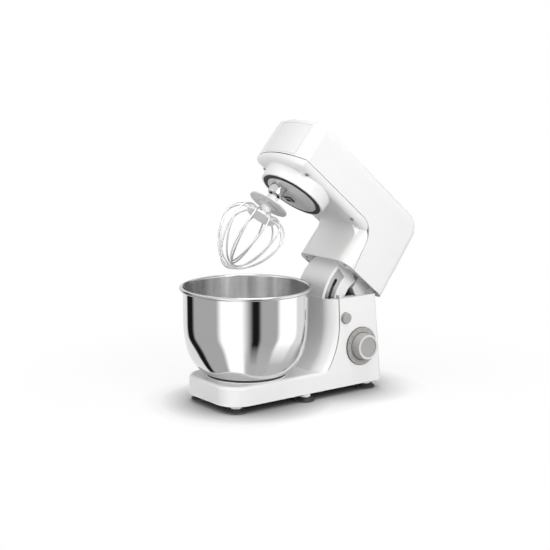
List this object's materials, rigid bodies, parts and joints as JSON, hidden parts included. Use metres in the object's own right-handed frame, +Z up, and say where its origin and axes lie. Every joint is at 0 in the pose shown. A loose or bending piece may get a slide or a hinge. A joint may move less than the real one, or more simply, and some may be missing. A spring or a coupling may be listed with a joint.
{
  "type": "stand mixer",
  "caption": "Tilt-head stand mixer with its head raised: planetary whisk, steel bowl on a bayonet seat, speed dial, head release button and suction feet.",
  "frame": {"origin": "on the table, under the middle of the whole object's box with the head raised", "axes": "+Z up, -Y the way the nose and the bowl face, +X the side with the dial and the release button"},
  "size_m": [0.226, 0.4432, 0.4736],
  "materials": {
    "white_plastic": "satin",
    "panel_plastic": "gloss",
    "warm_grey_plastic": "satin",
    "knob_face_plastic": "satin",
    "trim_chrome": "polished",
    "carrier_plastic": "satin",
    "seal_rubber": "matte",
    "foot_rubber": "matte",
    "bowl_steel": "polished",
    "wire_steel": "polished",
    "plate_steel": "brushed",
    "shaft_steel": "turned",
    "screw_steel": "zinc plated",
    "socket_chrome": "polished",
    "disc_plastic": "satin",
    "hub_plastic": "satin",
    "gear_nylon": "moulded",
    "case_aluminium": "cast",
    "bush_bronze": "sintered",
    "motor_steel": "coated",
    "magnet": "matte",
    "armature_steel": "laminated",
    "fan_plastic": "moulded",
    "belt_rubber": "matte",
    "board": "lacquered"
  },
  "bodies": {
    "stand": {"lower_housing": "white_plastic", "column_front_cover": "white_plastic", "bottom_plate": "white_plastic", "bottom_plate_screws": "screw_steel", "foot_stems": "white_plastic", "suction_cups": "foot_rubber", "bowl_seat_ring": "white_plastic", "hinge_pin": "shaft_steel", "hinge_brackets": "plate_steel", "dial_bezel": "warm_grey_plastic", "speed_switch": "fan_plastic", "cord_gland": "seal_rubber", "control_board": "board", "head_stop_tab": "white_plastic"},
    "head": {"head_top_cover": "white_plastic", "nose_panel": "panel_plastic", "head_lower_housing": "white_plastic", "head_screws": "screw_steel", "hinge_carrier": "white_plastic", "neck_sector": "white_plastic", "slot_plate": "plate_steel", "collar_seal": "seal_rubber", "gear_case": "case_aluminium", "carrier_bush": "bush_bronze", "ring_gear": "gear_nylon", "drive_frame": "case_aluminium", "shaft_bushes": "bush_bronze", "motor_can": "motor_steel", "motor_magnets": "magnet", "drive_belt": "belt_rubber"},
    "carrier": {"planet_carrier": "carrier_plastic", "main_gear": "gear_nylon"},
    "tool": {"tool_socket": "socket_chrome", "planet_gear": "shaft_steel", "tool_cross_pin": "shaft_steel", "whisk_stem": "white_plastic", "splash_disc": "disc_plastic", "whisk_hub": "hub_plastic", "whisk_wires": "wire_steel"},
    "first_lay_shaft": {"first_shaft": "shaft_steel", "first_gear": "gear_nylon"},
    "second_lay_shaft": {"second_shaft": "shaft_steel", "large_pulley": "gear_nylon"},
    "rotor": {"motor_shaft": "shaft_steel", "armature": "armature_steel", "cooling_fan": "fan_plastic", "motor_pulley": "shaft_steel"},
    "dial": {"speed_knob": "warm_grey_plastic", "knob_trim_ring": "trim_chrome", "knob_face": "knob_face_plastic"},
    "button": {"release_button": "warm_grey_plastic", "latch_yoke": "gear_nylon"},
    "bowl": {"bowl_shell": "bowl_steel", "bowl_foot": "foot_rubber", "bowl_bayonet": "plate_steel"}
  },
  "joints": [
    {"name": "head_tilt", "type": "hinge", "parent": "stand", "child": "head", "pos_m": [0, 0.1174, 0.148], "axis": [1, 0, 0], "range_deg": [0, 40]},
    {"name": "planet_spin", "type": "hinge", "parent": "head", "child": "carrier", "pos_m": [0, -0.01073, 0.34689], "axis": [0, 0.6428, 0.766], "continuous": true},
    {"name": "tool_spin", "type": "hinge", "parent": "carrier", "child": "tool", "pos_m": [-0.00598, -0.0309, 0.36382], "axis": [0, 0.6428, 0.766], "continuous": true},
    {"name": "first_shaft_spin", "type": "hinge", "parent": "head", "child": "first_lay_shaft", "pos_m": [0, 0.05073, 0.35014], "axis": [0, 0.6428, 0.766], "continuous": true},
    {"name": "second_shaft_spin", "type": "hinge", "parent": "head", "child": "second_lay_shaft", "pos_m": [0, 0.08397, 0.3353], "axis": [0, 0.6428, 0.766], "continuous": true},
    {"name": "motor_spin", "type": "hinge", "parent": "head", "child": "rotor", "pos_m": [0, 0.15032, 0.26658], "axis": [0, 0.6428, 0.766], "continuous": true},
    {"name": "speed_dial", "type": "hinge", "parent": "stand", "child": "dial", "pos_m": [0.07084, 0.0877, 0.0805], "axis": [0.9985, 0, 0.0549], "range_deg": [-225, 30]},
    {"name": "button_press", "type": "slide", "parent": "stand", "child": "button", "axis": [-1, 0, 0], "range_m": [0, 0.004], "stiffness_N_per_m": 800, "springref_m": -0.002},
    {"name": "bowl_twist", "type": "hinge", "parent": "stand", "child": "bowl", "pos_m": [0, -0.1086, 0.048], "axis": [0, 0, 1], "range_deg": [0, 45]}
  ],
  "couplings": [
    {"joint": "tool_spin", "follows": "planet_spin", "ratio": -3.5714},
    {"joint": "first_shaft_spin", "follows": "planet_spin", "ratio": -5},
    {"joint": "second_shaft_spin", "follows": "planet_spin", "ratio": 20},
    {"joint": "motor_spin", "follows": "planet_spin", "ratio": 75}
  ]
}
